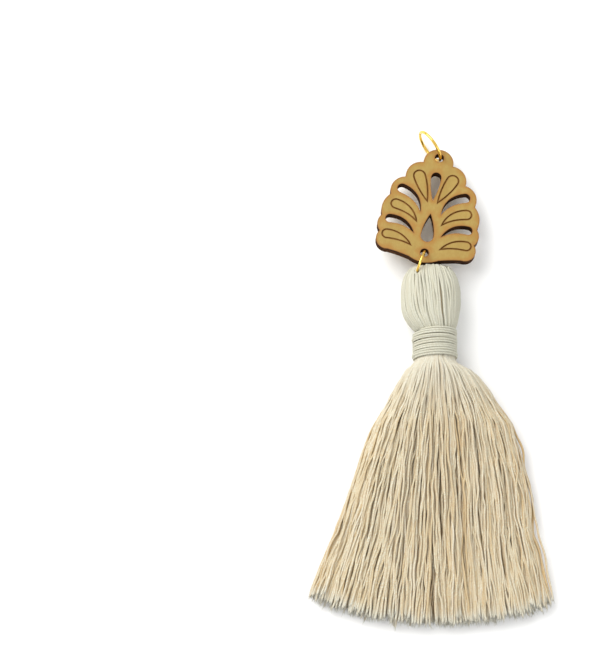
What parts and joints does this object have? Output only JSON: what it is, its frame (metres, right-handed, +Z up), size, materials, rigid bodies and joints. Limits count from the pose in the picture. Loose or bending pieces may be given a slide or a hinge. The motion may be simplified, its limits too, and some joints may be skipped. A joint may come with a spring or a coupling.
{
  "type": "yarn tassel with a wooden charm",
  "caption": "Cream cotton tassel with a wound neck and fanned skirt, hung from a laser-cut wooden palmette charm with a ring, for trimming bags, cushions or curtains.",
  "frame": {"origin": "middle of the footprint, on the surface that the tassel lies on", "axes": "+Y along the tassel from the skirt to the hanging ring, +Z up from the surface, +X to the right when the charm's engraved face is seen with the ring at the top"},
  "size_m": [0.0726, 0.1604, 0.0156],
  "materials": {
    "cotton_yarn": "soft twisted cotton yarn, cream, matt",
    "cotton_winding": "the same yarn wound tight, cream, matt",
    "plywood": "bare laser-cut plywood, honey coloured, edges burnt dark brown",
    "gold_wire": "gold-coloured plated wire, polished"
  },
  "bodies": {
    "tassel": {"yarn_bundle": "cotton_yarn", "neck_wrap": "cotton_winding", "link_ring": "gold_wire"},
    "charm": {"wood_charm": "plywood", "hanging_ring": "gold_wire"}
  },
  "joints": [
    {"name": "charm_fold", "type": "hinge", "parent": "tassel", "child": "charm", "pos_m": [-0.00326, 0.03436, 0.00987], "axis": [0.9874, -0.1582, 0], "range_deg": [0, 40]}
  ]
}
